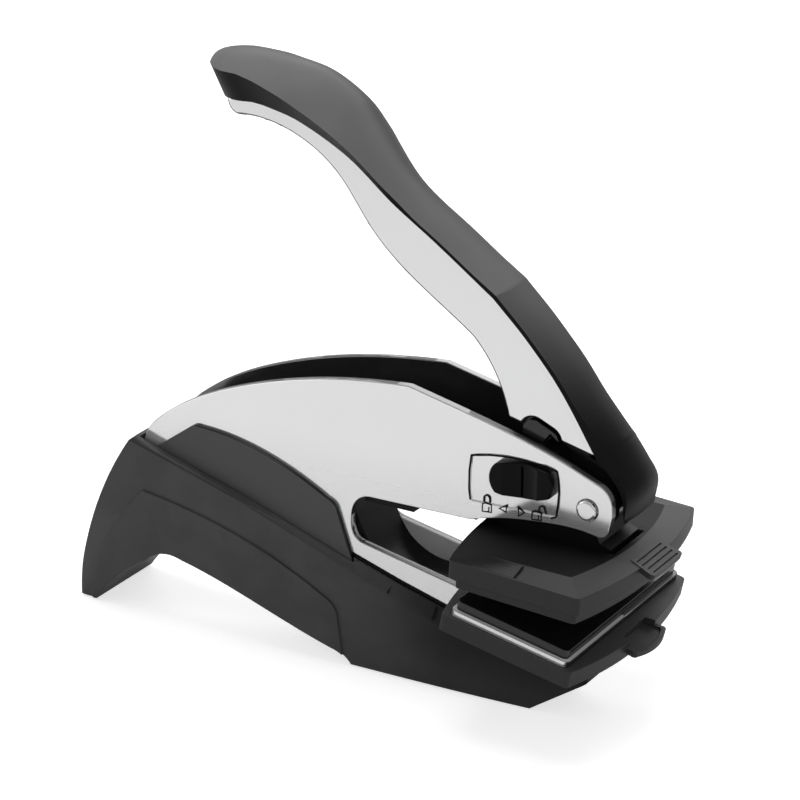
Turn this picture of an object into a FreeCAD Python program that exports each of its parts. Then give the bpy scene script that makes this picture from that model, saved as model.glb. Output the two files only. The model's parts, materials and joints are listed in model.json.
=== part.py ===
import FreeCAD, Part
import math
import os

from FreeCAD import Placement, Rotation, Vector

# Lever-operated seal embosser, modelled with the handle up, in millimetres.
# +X points to the dies, +Z up; the part is built about the plane Y = 0.
# The origin lies on the table, in the flat of the front foot.

# ---- driving dimensions -------------------------------------------------------------

# side plates of the frame
plate_gap = 15.0              # between the two inner faces
plate_thick = 2.0
throat_height = 11.8          # opening behind the dies
throat_end = -28.2            # rear wall of the throat
throat_floor = 31.6           # lower rear corner of the throat

# handle pivot
pivot_x = 32.4
pivot_z = 52.7
rivet_radius = 2.2
rivet_head_radius = 2.85
rivet_head_height = 1.0
bush_thick = 0.8
run_clear = 0.05              # radial play of a running fit
handle_travel = 38.0          # degrees, up to locked down

# handle
channel_clear = 0.9           # each side, channel to frame plate
channel_thick = 1.5
hub_radius = 5.6
palm_half_width = 10.8
neck_half_width = 6.9
nose_half_width = 7.7
grip_foot_half = 7.2          # where the palm's sides meet the channel
palm_side = 7.8               # height of the palm's edge over the channel
grip_lip = 0.4                # side wall of the grip above the arm
channel_rise = 0.15           # the channel's edges reach this far up inside the grip
grip_lap = 0.4                # the grip's lips overlap those edges by this much
palm_end = -100.8             # rear end of the palm at its edge, from the pivot
palm_edge_height = 86.0       # height of that edge over the pivot
palm_rake = 0.34              # the palm's end leans back this much per mm of height
striker_length = 9.3
striker_width = 5.6

# press arm, hinged inside the frame
jaw_pin_z = 51.0
jaw_pin_radius = 2.0
jaw_pin_seat = 1.2            # depth of the blind hole in each plate
jaw_hub_radius = 5.2
arm_clear = 0.6               # each side, press arm to frame plate
arm_drop = 6.0                # from the pivot down to the top of the press arm
cam_half_width = 2.4
cam_clear = 0.12

# upper leaf
leaf_half_width = 28.5
leaf_half_length = 16.3       # at the side edges
leaf_x = 24.45
leaf_z = 41.75
leaf_pitch = 3.35             # degrees, nose down
leaf_wall = 4.3
leaf_bow = 3.9                # sagitta of the front and rear edges
leaf_border = 5.8             # sloping border along the sides
leaf_end_border = 5.0         # sloping border along the front and rear
leaf_rise_front = 1.5
leaf_rise_rear = 0.5
counter_inset = 1.3
counter_thick = 2.7

# lower tray with its plates
tray_x = 22.65
tray_z = 26.0
tray_pitch = 11.5             # degrees, nose down
tray_half_length = 16.6
tray_wall = 4.0
tray_bow = 3.5
backplate_half_length = 15.0
backplate_half_width = 27.5
backplate_thick = 1.5
die_half_length = 14.2
die_half_width = 26.6
die_thick = 2.2
paper_gap = 0.3               # left between the dies when the handle is down

# finger tabs
upper_tab_half_width = 7.3
upper_tab_reach = 3.7
upper_tab_thick = 1.3
upper_tab_curl = 0.2          # its corners are set back by this
upper_tab_proud = 0.15        # over the leaf's sloping border
groove_pitch = 1.45
groove_width = 0.4
groove_depth = 0.35
lower_tab_half_width = 7.6
lower_tab_reach = 3.8
lower_tab_thick = 1.35
lower_tab_drop = 1.4          # below the tray's upper face
lower_tab_curl = 1.3
lower_tab_scoop = 0.5

# lock slide, on the right-hand plate
lock_travel = 3.6
button_x = 16.6
button_z = 56.5
button_length = 15.7
button_height = 8.4
button_proud = 2.0
recess_depth = 0.3
bolt_length = 2.1
bolt_height = 2.7
bolt_ahead = 3.15             # bolt in front of the button's middle
bolt_below = 0.65             # and below it
bolt_reach = 6.4              # past the inner face of the plate
collar_thick = 0.4

# base
base_wall = 1.2
base_draft = 0.05             # half-width gained per mm of height
base_half_width = 11.2        # at the table
nose_half_width_low = 7.6
panel_proud = 0.45
pad_proud = 0.5
pad_depth = 0.9
cover_thick = 1.0
cover_draft = 0.3             # its front end leans back by this towards the face
rim_lip = 1.4                 # thickness of the rim's inward lip
rim_gap = 0.35                # lip to frame plate
rim_width = 2.6               # from the lip's edge out to the flank
screw_radius = 1.5
screw_head_radius = 2.6
screw_head_height = 1.6

spring_thick = 0.6
spring_width = 8.0

# ---- dependent dimensions -----------------------------------------------------------

plate_in = plate_gap / 2
plate_out = plate_in + plate_thick
channel_out = plate_in - channel_clear
channel_in = channel_out - channel_thick
arm_half_width = plate_in - arm_clear
jaw_travel = tray_pitch - leaf_pitch
jaw_ratio = jaw_travel / handle_travel
stack = backplate_thick + die_thick
seal_skin = 0.05              # face-to-face fits within one body
bush_out = rivet_radius + run_clear + bush_thick
bolt_x = button_x + bolt_ahead
bolt_z = button_z - bolt_below
span = 200.0                  # longer than the whole machine, for cutters and limits


def v(x, z, y=0.0):
    return Vector(x, y, z)


def wire(*runs):
    """Closed wire in the XZ plane: two points draw a line, three an arc, more a curve."""
    edges = []
    for run in runs:
        points = [v(x, z) for x, z in run]
        if len(points) == 2:
            edges.append(Part.LineSegment(*points).toShape())
        elif len(points) == 3:
            edges.append(Part.Arc(*points).toShape())
        else:
            curve = Part.BSplineCurve()
            curve.interpolate(points)
            edges.append(curve.toShape())
    return Part.Wire(Part.__sortEdges__(edges))


def slab(outline, y0, y1):
    """Prism of an XZ outline between two values of Y."""
    face = Part.Face(outline)
    face.translate(Vector(0, y0, 0))
    return face.extrude(Vector(0, y1 - y0, 0))


def polygon(*points):
    return wire(*[(points[i], points[(i + 1) % len(points)]) for i in range(len(points))])


def box(x0, x1, y0, y1, z0, z1):
    return Part.makeBox(x1 - x0, y1 - y0, z1 - z0, Vector(x0, y0, z0))


def pin(radius, x, z, y0, y1):
    return Part.makeCylinder(radius, y1 - y0, Vector(x, y0, z), Vector(0, 1, 0))


def turned(shape, x, z, degrees):
    """Copy turned nose-down about a line along Y through (x, z)."""
    copy = shape.copy()
    copy.rotate(v(x, z), Vector(0, 1, 0), degrees)
    return copy


def mirrored(shape):
    return shape.mirror(Vector(0, 0, 0), Vector(0, 1, 0))


def save(name, shape):
    shape = shape.removeSplitter()
    if not shape.isValid():
        print("invalid", name)
    shape.exportStep("parts/" + name + ".step")
    print(name, len(shape.Solids), round(shape.Volume, 1))


# ---- places worked out from the dimensions ------------------------------------------

def on_pitch(x0, z0, pitch, along, up):
    """Point of a plane pitched nose-down by `pitch`, given along and above it."""
    a = math.radians(pitch)
    return (x0 + along * math.cos(a) + up * math.sin(a),
            z0 - along * math.sin(a) + up * math.cos(a))


def jaw_pin_place():
    """X of the jaw pin that brings the two dies together parallel."""
    top = on_pitch(leaf_x, leaf_z, leaf_pitch, 0, -leaf_wall - counter_thick)
    low = on_pitch(tray_x, tray_z, tray_pitch, 0, stack + paper_gap)
    a, b = math.radians(leaf_pitch), math.radians(tray_pitch)
    na, nb = (math.sin(a), math.cos(a)), (math.sin(b), math.cos(b))
    # the pin is as far from one plane as from the other
    rhs = na[0] * top[0] + na[1] * top[1] - nb[0] * low[0] - nb[1] * low[1]
    return (rhs - (na[1] - nb[1]) * jaw_pin_z) / (na[0] - nb[0])


jaw_pin_x = jaw_pin_place()


def throat_top():
    return throat_floor + throat_height


def tray_bottom(x):
    """Height of the tray's underside, where the plates carry it."""
    x0, z0 = on_pitch(tray_x, tray_z, tray_pitch, 0, -tray_wall)
    return z0 - (x - x0) * math.tan(math.radians(tray_pitch))


# ---- frame --------------------------------------------------------------------------

seat_front = 31.0             # front end of what carries the tray


def plate_outline():
    top, floor, end = throat_top(), throat_floor, throat_end
    return wire(
        [(-85.6, 40), (-84.9, 46.5), (-78.5, 53.2), (-58, 63.6), (-35.7, 69.8), (-13, 72.7)],
        [(-13, 72.7), (0, 69.8), (11.9, 66.9), (20.4, 64.5), (30.4, 60.9)],
        [(30.4, 60.9), (34.8, 59.1)],
        [(34.8, 59.1), (37.3, 57.3), (38.3, 55.0)],
        [(38.3, 55.0), (38.4, 52.3), (37.8, 49.2)],
        [(37.8, 49.2), (37.0, 47.4), (35.3, 46.7)],
        [(35.3, 46.7), (31.5, 47.35), (21, 47.2), (13.2, 46.3), (3, top + 0.4)],
        [(3, top + 0.4), (-23.5, top)],
        [(-23.5, top), (end + 1.1, top - 2.2), (end, floor + 5.3), (end + 0.8, floor + 1.5),
         (end + 3, floor)],
        [(end + 3, floor), (4, tray_bottom(4))],
        [(4, tray_bottom(4)), (seat_front, tray_bottom(seat_front))],
        [(seat_front, tray_bottom(seat_front)), (seat_front, 13.6)],
        [(seat_front, 13.6), (19, 10.6)],
        [(19, 10.6), (0, 7.2)],
        [(0, 7.2), (-31, 7.4)],
        [(-31, 7.4), (-41.5, 11.4)],
        [(-41.5, 11.4), (-66, 20)],
        [(-66, 20), (-80, 22)],
        [(-80, 22), (-85.6, 40)])


cross_pins = [(-66.0, 37.0), (-40.0, 36.0), (-52.0, 22.0)]
cross_pin_radius = 2.5


def frame_plate(side):
    """One side plate; side is -1 on the right, +1 on the left."""
    y0, y1 = sorted([side * plate_in, side * plate_out])
    body = slab(plate_outline(), y0, y1)
    body = body.cut(pin(rivet_radius, pivot_x, pivot_z, y0 - 1, y1 + 1))
    seat = sorted([side * (plate_in - 1), side * (plate_in + jaw_pin_seat)])
    body = body.cut(pin(jaw_pin_radius, jaw_pin_x, jaw_pin_z, *seat))
    for x, z in cross_pins:
        body = body.cut(pin(cross_pin_radius, x, z, y0 - 1, y1 + 1))
    if side < 0:
        body = body.cut(lock_window())
    return body


def lock_window():
    """Shallow recess that the button slides in, with the slot for its bolt."""
    x0 = button_x - button_length / 2 - lock_travel - 1.85
    x1 = button_x + button_length / 2 + 0.45
    top, low = button_z + button_height / 2 + 0.2, button_z - button_height / 2 - 3.7
    mid = button_z - 2.4
    outline = wire([(x0, low), (x0 - 0.5, mid), (x0, top - 1.3)],
                   [(x0, top - 1.3), (x0 + 8.7, top + 0.3), (x1, top - 0.7)],
                   [(x1, top - 0.7), (x1 + 0.6, mid), (x1, low + 0.6)],
                   [(x1, low + 0.6), (x0 + 10.7, low + 0.3), (x0, low)])
    recess = slab(outline, -plate_out - 1, -plate_out + recess_depth)
    play = 0.15
    rear = bolt_x - bolt_length / 2 - lock_travel - play
    front = bolt_x + bolt_length / 2 + play
    half = bolt_height / 2 + play
    slot = box(rear, front, -plate_out - 1, -plate_in + 1, bolt_z - half, bolt_z + half)
    return recess.fuse(slot)


def pivot_rivet():
    half = plate_out
    shank = pin(rivet_radius, pivot_x, pivot_z, -half, half)
    head = Part.makeCone(rivet_head_radius, rivet_head_radius - 0.7, rivet_head_height,
                         v(pivot_x, pivot_z, half), Vector(0, 1, 0))
    return shank.fuse([head, mirrored(head)])


def cross_pin_set():
    return Part.Compound([pin(cross_pin_radius, x, z, -plate_out, plate_out)
                          for x, z in cross_pins])


def throat_spacer():
    """Moulded block between the plates: rear wall and floor of the throat."""
    y = plate_in - seal_skin
    end, floor = throat_end, throat_floor
    step = 3.5                # where the bed begins
    outline = wire(
        [(end - 16, spring_seat), (end - 4, spring_seat)],
        [(end - 4, spring_seat), (end - 1, spring_seat - 3)],
        [(end - 1, spring_seat - 3), (end - 1, throat_top())],
        [(end - 1, throat_top()), (end + 0.2, floor + 6.4), (end + 2.1, floor + 2.4),
         (end + 5.1, floor - 2.8), (end + 11.1, floor - 7.1), (end + 15.7, floor - 8.1)],
        [(end + 15.7, floor - 8.1), (step, floor - 8.6)],
        [(step, floor - 8.6), (step, 12)],
        [(step, 12), (-30, 12)],
        [(-30, 12), (end - 16, 19)],
        [(end - 16, 19), (end - 16, spring_seat)])
    body = slab(outline, -y, y)
    for x, z in cross_pins:
        body = body.cut(pin(cross_pin_radius + seal_skin, x, z, -y - 1, y + 1))
    for x in screw_xs[:1]:
        body = body.cut(screw_bore(x))
    spring_hole = Part.makeCylinder(1.0, 8, v(spring_screw_x(), 51), Vector(0, 0, 1))
    return body.cut(spring_hole)


def bed_block():
    """Solid bed between the plates that the tray rests on."""
    y = plate_in - seal_skin
    outline = polygon((4, tray_bottom(4)), (seat_front, tray_bottom(seat_front)),
                      (seat_front, 13.2), (19, 5.8), (4, 5.8))
    body = slab(outline, -y, y)
    for x in screw_xs[1:]:
        body = body.cut(screw_bore(x))
    return body


# ---- base ---------------------------------------------------------------------------

foot_rear = -104.6
foot_inner = -100.0
heel_x = -27.4                # rear end of the front foot's flat
toe_x = 18.0                  # front end of the flat
nose_x = 33.6
nose_top = 11.9
screw_xs = [-18.0, 12.0]
# edge of the rim's lip from the rear corner to the nose, and the bevel's fall outside it
rim_line = [(-86.9, 45.9), (-57.2, 37.4), (-27.1, 27.4), (-14.7, 23.7), (-3.6, 20.7),
            (nose_x, nose_top)]
rim_fall = [0.4, 0.7, 1.6, 2.9, 4.2, 5.0]


def base_side():
    """Side view of the base."""
    return wire(
        [(foot_rear, 0), (-104.3, 4.2), (-101.0, 18.2), (-94.3, 34.1), rim_line[0]],
        rim_line,
        [(nose_x, nose_top), (nose_x, nose_top - 0.9)],
        [(nose_x, nose_top - 0.9), (toe_x, 0)],
        [(toe_x, 0), (heel_x, 0)],
        [(heel_x, 0), (-29.2, 2.2), (-32.6, 3.8)],
        [(-32.6, 3.8), (-52.1, 10.4), (-65, 14.7), (-74, 17.0)],
        [(-74, 17.0), (-79.6, 17.3), (-84, 14.8)],
        [(-84, 14.8), (-92.9, 8.4), (foot_inner, 0)],
        [(foot_inner, 0), (foot_rear, 0)])


def base_plan(z, rear_half, mid_half, front_half, corner):
    """Plan section of the base at height z."""
    x0, x1 = -106.0, nose_x + 2
    r = corner
    side = [(x0 + r, rear_half), (-60, rear_half), (-29, (rear_half + mid_half) / 2),
            (-5, mid_half), (x1 - 3, front_half)]
    pts = [Vector(x, y, z) for x, y in side]
    k = r * (1 - math.sqrt(0.5))

    def edge(points):
        if len(points) == 2:
            return Part.LineSegment(*points).toShape()
        if len(points) == 3:
            return Part.Arc(*points).toShape()
        curve = Part.BSplineCurve()
        curve.interpolate(points)
        return curve.toShape()

    flip = lambda p: Vector(p.x, -p.y, p.z)
    rear = [Vector(x0, rear_half - r, z), Vector(x0 + k, rear_half - k, z), pts[0]]
    front = [pts[-1], Vector(x1 - 0.8, front_half - 1, z), Vector(x1, front_half - 3, z)]
    edges = [edge(rear), edge(pts), edge(front),
             edge([front[2], flip(front[2])]),
             edge([flip(p) for p in reversed(front)]),
             edge([flip(p) for p in reversed(pts)]),
             edge([flip(p) for p in reversed(rear)]),
             edge([flip(rear[0]), rear[0]])]
    return Part.Wire(edges)


def base_hull(grow):
    """Outer form of the base, drafted, with a nose that narrows downwards."""
    low, mid, high = 0.0, 14.0, 50.0
    w = base_half_width + grow
    return Part.makeLoft([
        base_plan(low - 1, w, w - 1.1, nose_half_width_low + grow, 2.5),
        base_plan(mid, w + base_draft * mid, w + base_draft * mid, w + 0.3, 3.0),
        base_plan(high, w + base_draft * high, w + base_draft * high, w + 1.4, 3.5)],
        True, False)


def base_panel():
    """Arched field that stands proud on each flank."""
    return wire(
        [(-101.5, -2), (-99.9, 3.9), (-95.4, 16.7), (-89.9, 26), (-84.1, 33)],
        [(-84.1, 33), (-60.3, 28.2), (-47.6, 23.8), (-33, 16.5)],
        [(-33, 16.5), (-31, 14.2), (-30.6, 11.5)],
        [(-30.6, 11.5), (-29.4, -2)],
        [(-29.4, -2), (-101.5, -2)])


def bevel_cutter(lower):
    """Ruled wedge that bevels the rim of the +Y flank, moved down by `lower`."""
    inner = plate_out + rim_gap
    reach = 3.0 * rim_width
    stations = [(x, z, fall) for (x, z), fall in zip(rim_line, rim_fall)]
    (x, z, fall), (x_next, z_next, _) = stations[:2]
    slope = (z - z_next) / (x_next - x)
    stations.insert(0, (x - reach, z + slope * reach, fall))
    x, z, fall = stations[-1]
    stations.append((x + reach, z, fall))
    sections = []
    for x, z, fall in stations:
        z -= lower
        corners = [Vector(x, inner, z), Vector(x, inner + reach, z - fall * reach / rim_width),
                   Vector(x, inner + reach, span), Vector(x, inner, span)]
        sections.append(Part.makePolygon(corners + corners[:1]))
    return Part.makeLoft(sections, True, True)


def base_cavity():
    """Hollow of the base: wide below the rim's lip, and a mouth that the frame fills."""
    profile = polygon(
        (-86.0, span), (-86.0, 40), (-80.6, 21.4), (-66, 19.3), (-41.5, 10.8),
        (-31, 6.8), (19.3, 4.8), (seat_front + 0.5, 12.2), (seat_front + 0.5, span))
    below = slab(base_side(), -span, span)
    below.translate(Vector(0, 0, -rim_lip))
    wide = base_hull(-base_wall).common(slab(profile, -span, span)).common(below)
    lowered = bevel_cutter(rim_lip)
    wide = wide.cut([lowered, mirrored(lowered)])
    mouth = plate_out + rim_gap
    # deeper and wider where the side covers stand
    bay = plate_out + cover_thick + 0.1
    cover_bay = polygon((-86, span), (-86, 40.0), (cover_front, 22.4), (cover_front, span))
    return wide.fuse([slab(profile, -mouth, mouth), slab(cover_bay, -bay, bay)])


def screw_bore(x):
    return Part.makeCylinder(screw_radius - 0.2, 12, Vector(x, 0, 0), Vector(0, 0, 1))


def base_shell():
    side = base_side()
    body = base_hull(0).common(slab(side, -span, span))
    raised = slab(side, -span, span).common(slab(base_panel(), -span, span))
    body = body.fuse(base_hull(panel_proud).common(raised))
    cutter = bevel_cutter(0)
    body = body.cut([cutter, mirrored(cutter)])
    body = body.cut(base_cavity())
    body = body.cut(box(-span, span, -span, span, -span, pad_proud))
    body = body.cut([pad.copy() for pad in (foot_pad_front(), foot_pad_rear())])
    for x in screw_xs:
        body = body.cut(Part.makeCylinder(screw_radius + 0.2, 12, Vector(x, 0, 0)))
        body = body.cut(Part.makeCylinder(screw_head_radius + 0.2, screw_seat,
                                          Vector(x, 0, 0)))
    return body


screw_seat = 3.0              # height of the screw heads' seats above the table


def foot_pad_front():
    pad = box(heel_x + 3, toe_x - 3, -6.2, 6.2, 0, pad_depth)
    pad = pad.makeFillet(3, [e for e in pad.Edges if e.BoundBox.ZLength > pad_depth / 2])
    for x in screw_xs:
        pad = pad.cut(Part.makeCylinder(screw_head_radius + 0.6, 5, Vector(x, 0, -1)))
    return pad


def foot_pad_rear():
    return box(foot_rear + 0.7, foot_inner - 0.4, -8.5, 8.5, 0, pad_depth)


def base_screws():
    screws = []
    for x in screw_xs:
        head = Part.makeCylinder(screw_head_radius, screw_head_height,
                                 Vector(x, 0, screw_seat - screw_head_height))
        shank = Part.makeCylinder(screw_radius - 0.25, 8.5, Vector(x, 0, screw_seat))
        screws.append(head.fuse(shank))
    return Part.Compound(screws)


cover_front = -26.9           # front end of the bay that the cover stands in


def cover_outline(y, draft):
    """Side view of the cover at depth y, its front end set back by `draft`."""
    outline = wire(
        [(-81.2, 44.1), (-71.6, 51.0)],
        [(-71.6, 51.0), (-70.4, 51.6), (-69.0, 51.6)],
        [(-69.0, 51.6), (-58.2, 50.4), (-47.3, 47.3), (-34.0 - draft * 0.3, 41.1)],
        [(-34.0 - draft * 0.3, 41.1), (-31.9 - draft * 0.5, 39.8),
         (-31.1 - draft * 0.7, 38.3)],
        [(-31.1 - draft * 0.7, 38.3), (-27.3 - draft, 27.4)],
        [(-27.3 - draft, 27.4), (-27.3 - draft, 23.6)],
        [(-27.3 - draft, 23.6), (-79.6, 39.2)],
        [(-79.6, 39.2), (-81.2, 44.1)])
    outline.translate(Vector(0, y, 0))
    return outline


def side_cover(side):
    """Bare cover that rises from the rim beside the frame plate."""
    body = Part.makeLoft([cover_outline(plate_out + seal_skin, 0),
                          cover_outline(plate_out + cover_thick, cover_draft)], True, True)
    return body if side > 0 else mirrored(body)


# ---- handle, drawn about its pivot --------------------------------------------------

def placed_handle(shape):
    shape.translate(v(pivot_x, pivot_z))
    return shape


channel_tip = (-94.3, 78.6)
# lower edge of the grip along the channel, from the palm to the foot
arm_top = [(-91.1, 79.0), (-83.8, 78.55), (-74.9, 76.35), (-62.6, 70.3), (-51.2, 61.4),
           (-39.6, 53.7), (-25.4, 43.7)]
foot_top = [(-25.4, 43.7), (-16.9, 35.5), (-8.4, 25.5), (0.8, 11.1)]
arm_under = [(-91.8, 75.05), (-82.1, 74.5), (-74.4, 71.8), (-68.7, 68.3), (-64.9, 64.8),
             (-57.4, 54.8), (-48.1, 45.8), (-35.3, 36.9), (-30.7, 33.6)]
foot_rear_edge = [(-30.7, 33.6), (-27.6, 30.0), (-23.4, 22.4), (-21.6, 16.5)]


def top_edge(rise):
    """The grip's lower edge moved `rise` square to itself, as its arm and its foot."""
    line = arm_top + foot_top[1:]
    moved = []
    for i, (x, z) in enumerate(line):
        before, after = line[max(i - 1, 0)], line[min(i + 1, len(line) - 1)]
        dx, dz = after[0] - before[0], after[1] - before[1]
        d = math.hypot(dx, dz)
        moved.append((x - rise * dz / d, z + rise * dx / d))
    n = len(arm_top)
    return moved[:n], moved[n - 1:]


def channel_side():
    arm, foot = top_edge(channel_rise)
    return wire([channel_tip, arm[0]], arm, foot,
                [foot[-1], foot_rear_edge[-1]], foot_rear_edge, arm_under,
                [arm_under[0], (-93.6, 76.3), channel_tip])


def lever_channel():
    """Bent steel channel: two flanges joined by a web under the grip."""
    body = slab(channel_side(), -channel_out, channel_out)
    # the hollow follows the top edge, one web thickness below it
    arm, foot = top_edge(channel_rise - channel_thick)
    far = (-span, arm[0][1])
    hollow = wire([far, arm[0]], arm, foot, [foot[-1], (10, 0)], [(10, 0), (-span, 0)],
                  [(-span, 0), far])
    body = body.cut(slab(hollow, -channel_in, channel_in))
    notch = striker_outline(0.5)
    return placed_handle(body.cut(slab(notch, -channel_out - 1, channel_out + 1)))


striker_at = (-13.4, 13.6)
striker_tilt = 23.6


def striker_outline(play):
    """Obround of the striker, enlarged by `play`, open towards the pivot side below."""
    r = striker_width / 2 + play
    half = striker_length / 2 + play - r
    a = math.radians(striker_tilt)
    ca, sa = math.cos(a), math.sin(a)

    def at(u, w):
        return (striker_at[0] + u * ca + w * sa, striker_at[1] - u * sa + w * ca)

    return wire([at(-half, r), at(half, r)],
                [at(half, r), at(half + r, 0), at(half, -r)],
                [at(half, -r), at(-half, -r)],
                [at(-half, -r), at(-half - r, 0), at(-half, r)])


def bolt_pocket():
    """Room for the bolt, turned back from the handle's lowered place."""
    play = 0.35
    rear = bolt_x - bolt_length / 2 - lock_travel - play
    front = bolt_x + bolt_length / 2 + play
    half = bolt_height / 2 + play
    room = box(rear, front, -plate_in, channel_in + 1, bolt_z - half, bolt_z + half)
    room = turned(room, pivot_x, pivot_z, handle_travel)
    room.translate(v(-pivot_x, -pivot_z))
    return room


def striker():
    y = plate_in - collar_thick - 0.3
    body = slab(striker_outline(0), -y, y)
    return placed_handle(body.cut(bolt_pocket()))


def core_outline():
    return wire(
        [(-24.2, 31.0), (-16.2, 30.0)],
        [(-16.2, 30.0), (-1.6, 10.4)],
        [(-1.6, 10.4), (3.2, 8.4)],
        [(3.2, 8.4), (hub_radius, 0.6)],
        [(hub_radius, 0.6), (0.7, -hub_radius), (-hub_radius, 0.6)],
        [(-hub_radius, 0.6), (-5.4, 9.6)],
        [(-5.4, 9.6), (-9.4, 11.0)],
        [(-9.4, 11.0), (-20.4, 15.4)],
        [(-20.4, 15.4), (-24.2, 31.0)])


def lever_core():
    """Moulded hub that fills the foot of the channel and turns on the rivet."""
    y = channel_in - seal_skin
    body = slab(core_outline(), -y, y)
    body = body.cut(pin(bush_out, 0, 0, -y - 1, y + 1))
    body = body.cut(slab(striker_outline(seal_skin), -y - 1, y + 1))
    body = body.cut(bolt_pocket())
    slot = slab(cam_outline(seal_skin), -cam_half_width - seal_skin,
                cam_half_width + seal_skin)
    toe = pin(hub_radius + 1.2, 0, 0, -cam_half_width - seal_skin,
              cam_half_width + seal_skin)
    return placed_handle(body.cut([slot, toe]))


def hub_bush():
    y = channel_in - seal_skin
    return placed_handle(pin(bush_out - seal_skin, 0, 0, -y, y).cut(
        pin(rivet_radius + run_clear, 0, 0, -y - 1, y + 1)))


def cam_point(theta, clear):
    """Point of the cam that touches the press arm when the handle is `theta` down."""
    alpha = math.radians(leaf_pitch)
    k = jaw_ratio
    phi = k * theta
    jx, jz = jaw_pin_x - pivot_x, jaw_pin_z - pivot_z
    start = -arm_drop * math.cos(alpha) - (jx * math.sin(alpha) + jz * math.cos(alpha))
    h = start + jx * math.sin(alpha + phi) + jz * math.cos(alpha + phi) + clear
    dh = -k / (1 + k) * (jx * math.cos(alpha + phi) - jz * math.sin(alpha + phi))
    psi = math.pi / 2 - alpha - (1 + k) * theta
    m = (math.cos(psi), math.sin(psi))
    return (h * m[0] - dh * m[1], h * m[1] + dh * m[0])


def cam_outline(grow):
    """Cam: its working flank is the envelope of the press arm's flat top."""
    steps = 6
    travel = math.radians(handle_travel)
    flank = [cam_point(travel * i / steps, cam_clear - grow) for i in range(steps + 1)]
    ring = bush_out + 1.9 + grow
    tip = flank[-1]
    return wire(flank,
                [tip, (tip[0] + 0.9, tip[1] + 2.2), (tip[0] + 2.8, tip[1] + 3.1)],
                [(tip[0] + 2.8, tip[1] + 3.1), (-ring * 0.8, ring * 0.6)],
                [(-ring * 0.8, ring * 0.6), (ring * 0.94, ring * 0.34), (0, -ring)],
                [(0, -ring), flank[0]])


def press_cam():
    body = slab(cam_outline(0), -cam_half_width, cam_half_width)
    return placed_handle(body.cut(pin(bush_out, 0, 0, -9, 9)))


def grip_section(at, tangent, half, foot_half, height, crown):
    """Closed section of the grip square to the arm: flat foot, sides and crowned top."""
    length = math.hypot(*tangent)
    n = (-tangent[1] / length, tangent[0] / length)

    def p(y, h):
        return Vector(at[0] + n[0] * h, y, at[1] + n[1] * h)

    line, arc = Part.LineSegment, Part.Arc
    low = channel_rise - grip_lap
    edges = [line(p(-foot_half, low), p(foot_half, low)),
             line(p(foot_half, low), p(half, height)),
             arc(p(half, height), p(0, height + crown), p(-half, height)),
             line(p(-half, height), p(-foot_half, low))]
    return Part.Wire([e.toShape() for e in edges])


def path_curve(path):
    curve = Part.BSplineCurve()
    curve.interpolate([v(x, z) for x, z in path])
    return curve


def joint_tangent(before, after):
    """Shared direction where one path ends and the next begins, for a mitred joint."""
    a = before.tangent(before.LastParameter)[0]
    b = after.tangent(after.FirstParameter)[0]
    return a.normalize() + b.normalize()


def grip_loft(curve, stations, start=None, end=None):
    """Loft along a path; each station is (share of path, half, foot, height, crown)."""
    first, last = curve.FirstParameter, curve.LastParameter
    total = curve.length(first, last)
    wires = []
    for share, half, foot, height, crown in stations:
        t = curve.parameterAtDistance(total * share, first) if share > 0 else first
        point, tangent = curve.value(t), curve.tangent(t)[0]
        if share == 0 and start:
            tangent = start
        if share == 1 and end:
            tangent = end
        wires.append(grip_section((point.x, point.z), (tangent.x, tangent.z),
                                  half, foot, height, crown))
    return Part.makeLoft(wires, True, False)


def grip():
    """Soft cover of the handle: broad palm, slim arm and a nose that wraps the front."""
    palm, neck, nose = palm_half_width, neck_half_width, nose_half_width
    foot, side, lip = grip_foot_half, palm_side, grip_lip
    rear_path = path_curve([(-104.0, 77.2), (-97.0, 78.6)] + arm_top)
    foot_path = path_curve(foot_top)
    chin_path = path_curve([foot_top[-1], (4.5, 7.6), (7.5, 3.4), (8.0, -2.2)])
    kink = joint_tangent(rear_path, foot_path)
    bend = joint_tangent(foot_path, chin_path)
    # the palm's edges sink towards the arm while its middle stays high as a ridge
    rear = grip_loft(rear_path, [
        (0.00, palm - 1.0, foot, side - 0.6, 1.2),
        (0.08, palm - 0.3, foot, side - 0.4, 1.7),
        (0.16, palm, foot, side - 0.8, 2.8),
        (0.23, palm, foot, side - 1.9, 4.0),
        (0.30, palm - 0.1, foot, side - 3.2, 5.6),
        (0.36, palm - 0.8, foot - 0.1, side - 4.3, 6.6),
        (0.42, palm - 1.8, foot - 0.2, side - 5.5, 7.0),
        (0.49, neck + 0.9, neck, lip + 1.0, 6.2),
        (0.57, neck, neck, lip + 0.4, 4.5),
        (0.66, neck, neck, lip + 0.2, 2.2),
        (0.73, neck, neck, lip, 1.2),
        (0.80, neck, neck, lip - 0.1, 0.7),
        (0.90, neck, neck, lip - 0.1, 0.7),
        (1, neck, neck, lip, 1.0)], end=kink)
    front = grip_loft(foot_path, [
        (0, neck, neck, lip, 1.0),
        (0.17, neck, neck, lip, 1.0),
        (0.33, neck, neck, lip, 1.0),
        (0.50, neck, neck, lip + 0.1, 1.1),
        (0.70, neck, neck, lip + 0.6, 1.5),
        (0.85, neck, neck, lip + 1.5, 1.8),
        (1, neck, neck, lip + 2.6, 2.0)], start=kink, end=bend)
    chin = grip_loft(chin_path, [
        (0, neck, neck, lip + 2.6, 2.0),
        (0.35, neck, neck, lip + 1.6, 1.6),
        (0.62, nose, nose - 0.3, lip + 0.8, 1.7),
        (0.90, nose, nose - 0.3, lip - 0.2, 0.6),
        (1, nose - 0.5, nose - 0.8, lip - 0.3, 0.5)], start=bend)
    body = rear.fuse([front, chin])
    body = body.common(palm_limit())
    body = body.cut([slab(channel_side(), -channel_out, channel_out),
                     slab(core_outline(), -channel_out, channel_out)])
    return placed_handle(body)


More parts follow.
